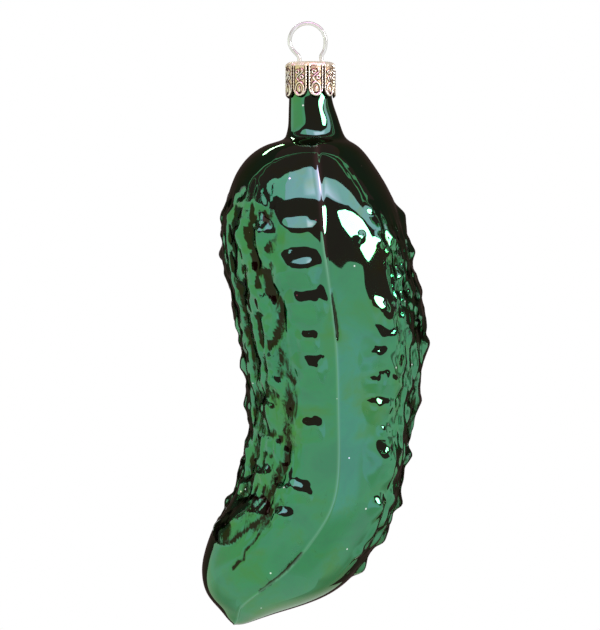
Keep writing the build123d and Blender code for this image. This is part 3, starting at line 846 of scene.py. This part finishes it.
floor_turn = np.linspace(0, 2 * np.pi, FLOOR_SIDES, endpoint=False)
floor_r = np.array(FLOOR_RADII)[:, None]
floor_x, floor_y = floor_r * np.sin(floor_turn), -floor_r * np.cos(floor_turn)
floor_rows = np.stack([floor_x, floor_y, FLOOR_Z + 0 * floor_x], axis=-1)
floor_points = np.concatenate([floor_rows.reshape(-1, 3), [[0, 0, FLOOR_Z]] * 2])
floor_quads, floor_ends = closed_grid(len(FLOOR_RADII), FLOOR_SIDES)
floor = put_in_mesh("pale_floor", floor_points, floor_quads, floor_ends[:FLOOR_SIDES])
pale, tree, shader = new_material("pale_floor_paint")
shader.inputs["Base Color"].default_value = (0.9, 0.9, 0.9, 1)
shader.inputs["Roughness"].default_value = 0.9
rays = put(tree, "ShaderNodeLightPath").outputs
seen = put(tree, "ShaderNodeMath", {0: rays["Is Camera Ray"], 1: rays["Is Glossy Ray"]}, operation="MAXIMUM")
seen = put(tree, "ShaderNodeMath", {
    0: seen.outputs[0], 1: rays["Is Transmission Ray"]}, operation="MAXIMUM")
share = put(tree, "ShaderNodeMath", {0: seen.outputs[0], 1: FLOOR_GLOW}, operation="MULTIPLY")
glow = put(tree, "ShaderNodeEmission", {"Color": (1, 1, 1, 1), "Strength": 1.0})
both = put(tree, "ShaderNodeMixShader", {0: share.outputs[0], 1: shader.outputs[0], 2: glow.outputs[0]})
tree.links.new(both.outputs[0], tree.nodes["Material Output"].inputs["Surface"])
floor.data.materials.append(pale)

CARD_COLUMNS, CARD_ROWS = 97, 33


def card(name, distance, colour, azimuths, lower, upper, soft=0):
    """A card that is a patch of a ball about the pickle, from its lower to its upper elevation at each
    azimuth, in degrees, azimuth from the camera towards the right. Its edges fade over a share of its size,
    and only gloss sees it."""
    azimuth = np.linspace(azimuths[0], azimuths[-1], CARD_COLUMNS)
    up = np.linspace(0, 1, CARD_ROWS)[:, None]
    lowest, highest = np.interp(azimuth, azimuths, lower), np.interp(azimuth, azimuths, upper)
    elevation = np.radians(lowest * (1 - up) + highest * up)
    azimuth = np.radians(azimuth)
    level = np.cos(elevation)
    facing = np.stack([np.sin(azimuth) * level, -np.cos(azimuth) * level, np.sin(elevation)], axis=-1)
    points = STUDIO_MIDDLE + distance * facing
    i, j = np.meshgrid(np.arange(CARD_ROWS - 1), np.arange(CARD_COLUMNS - 1), indexing="ij")
    a = i * CARD_COLUMNS + j
    quads = np.stack([a, a + 1, a + CARD_COLUMNS + 1, a + CARD_COLUMNS], axis=-1).reshape(-1, 4)
    made = put_in_mesh(name, points.reshape(-1, 3), quads, np.zeros((0, 3), int))
    along = np.linspace(0, 1, CARD_COLUMNS)
    edge = np.minimum(np.minimum(along, 1 - along), np.minimum(up, 1 - up))
    put_on_points(made, "shown", ease(-1e-6, soft, edge))
    paper, tree, shader = new_material(name + "_paper")
    tree.nodes.remove(shader)
    light = put(tree, "ShaderNodeEmission", {"Color": (*colour, 1), "Strength": 1.0})
    clear = put(tree, "ShaderNodeBsdfTransparent")
    mixed = put(tree, "ShaderNodeMixShader", {
        0: from_points(tree, "shown"), 1: clear.outputs[0], 2: light.outputs[0]})
    tree.links.new(mixed.outputs[0], tree.nodes["Material Output"].inputs["Surface"])
    made.data.materials.append(paper)
    made.visible_camera = made.visible_diffuse = made.visible_shadow = False
    made.visible_transmission = made.visible_volume_scatter = False


DARK = (0.22, 0.054, 0.078)
DEEP = (0.085, 0.046, 0.046)
ARCH = (0.7, 0.8, 0.7)
card("dark_above", 700, DARK, (-180, 180), (55, 55), (90, 90))
card("dark_behind_high", 690, DEEP, (104, 232, 240, 256), (9, 9, 20, 25), (58, 58, 58, 58))
card("dark_behind_right", 685, DEEP, (122, 171), (-10, -10), (10, 10))
card("dark_behind_left", 685, DEEP, (189, 216, 226, 233), (-32, -30, -16, -6), (10, 10, 10, 10))
card("dark_behind_low", 430, DEEP, (126, 140, 148, 158, 198, 210, 218),
     (-26, -38, -46, -31, -28, -40, -30), (-9,) * 7)
card("dark_front", 660, DARK,
     (-104, -80, -70, -60, -42, -32, -5, 2, 8, 34, 48, 54, 56, 58, 64, 74, 82, 90, 104),
     (26, 29, 29, 27, 24, 14, 13, 9, 7, 7, 9, 9, 5, 2, 0, 2, 6, 10, 18), (58,) * 19)
card("dim_side", 655, (0.42, 0.36, 0.34), (90, 104), (-14, -14), (15, 15), 0.2)
card("left_wall", 675, (0.86, 0.95, 0.66), (-114, -44), (-12, -12), (27, 27), 0.2)
card("sky_panel_left", 640, (1.5, 1.25, 1.6), (-70, -64, -58, -42), (39, 35, 33, 33.6), (40, 44, 48, 57))
card("sky_panel", 640, (2.5, 1.4, 2.8), (-42, -20, 3, 29), (33.6, 38.6, 42.5, 44.4), (57, 65, 69, 68))
card("sky_panel_right", 640, (2.4, 1.4, 2.6), (29, 57, 73, 90), (44.4, 36.2, 27.8, 18.6), (68, 50.5, 40, 21))
card("sky_bright", 635, (6.5, 2.4, 5.4), (-14, 3, 29, 54), (41, 42.5, 44.4, 37), (66, 69, 66, 51), 0.22)
card("key_panel", 620, (15, 15, 15), (40, 43, 52, 60, 64, 70, 82),
     (30, 25, 20, 12, 11, 13, 16.5), (33, 34, 34, 31, 30, 27, 18.5))
card("window_panel", 665, (1.15, 1.08, 1.48), (10, 62), (-34, -34), (4, 4), 0.3)
card("dim_low_right", 500, (0.52, 0.60, 0.48), (92, 180), (-76, -76), (-16, -16), 0.4)
card("dim_low_left", 500, (0.66, 0.72, 0.60), (200, 268), (-70, -70), (-22, -22), 0.4)
card("low_panel", 480, (0.90, 1.01, 0.88), (-84, 0), (-64, -64), (-12, -12), 0.2)
card("low_panel_right", 480, (0.78, 0.90, 0.76), (-6, 76), (-72, -72), (-20, -20), 0.3)
card("arch_right", 600, ARCH, (95, 98), (20, 20), (88, 88))
card("arch_right_thin", 600, ARCH, (87, 89), (24, 24), (88, 88))
card("arch_left", 600, ARCH, (-105, -102), (20, 20), (88, 88))
card("arch_left_thin", 600, (0.4, 0.5, 0.4), (-95, -93.6), (24, 24), (88, 88))
card("back_strip", 600, (20, 20, 20), (195, 218), (41.3, 41.3), (44, 44))

# Camera: a long lens, level with the middle of the picture and straight in front of it. The sensor lies along
# the picture's longer side, its height.
SENSOR = 36.0
CAMERA_DISTANCE = 900.0
PICTURE_HEIGHT = 126.0
PICTURE_MIDDLE_X, PICTURE_MIDDLE_Z = -2.1, -57.94
camera = bpy.data.objects.new("camera", bpy.data.cameras.new("camera"))
camera.data.sensor_width = SENSOR
camera.data.lens = SENSOR * CAMERA_DISTANCE / PICTURE_HEIGHT
camera.location = (PICTURE_MIDDLE_X * MM, -CAMERA_DISTANCE * MM, PICTURE_MIDDLE_Z * MM)
camera.rotation_euler = (np.pi / 2, 0, 0)
bpy.context.scene.collection.objects.link(camera)
bpy.context.scene.camera = camera
bpy.context.scene.view_settings.view_transform = "Standard"
